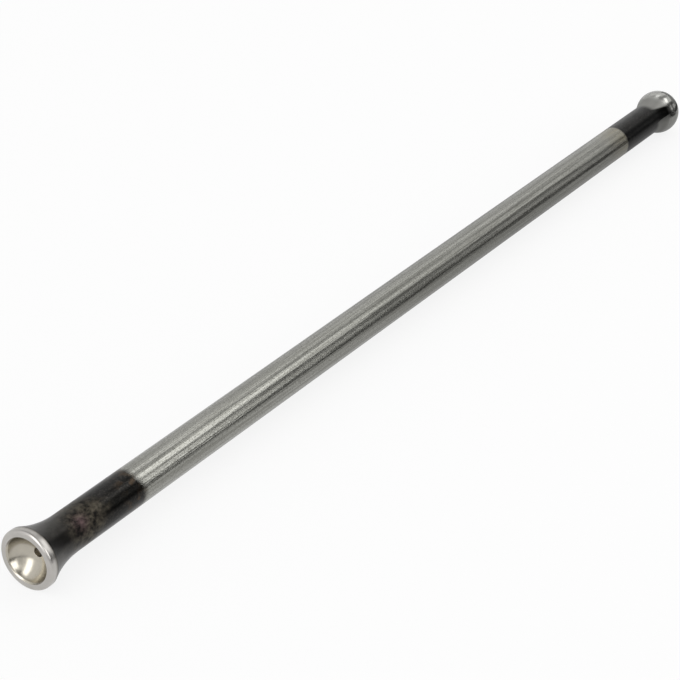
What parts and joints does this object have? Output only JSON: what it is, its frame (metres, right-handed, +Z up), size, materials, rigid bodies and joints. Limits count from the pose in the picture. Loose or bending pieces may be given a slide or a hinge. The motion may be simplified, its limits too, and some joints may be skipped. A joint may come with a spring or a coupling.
{
  "type": "engine pushrod",
  "caption": "One-piece steel engine pushrod: slim round shaft with a flared ball-seat cup at one end and a ground ball at the other, lying on its side.",
  "frame": {"origin": "centre of the spherical ball seat in the cup, on the rod's axis, 1.7 mm in front of the rim", "axes": "+X along the rod's axis from the cup to the ball, +Z up as the rod lies on a table"},
  "size_m": [0.308, 0.0144, 0.0144],
  "materials": {
    "steel": "satin drawn shaft, heat-darkened bands behind both ends, bright machined cup rim and ground ball"
  },
  "bodies": {
    "root": {"pushrod": "steel"}
  },
  "joints": []
}
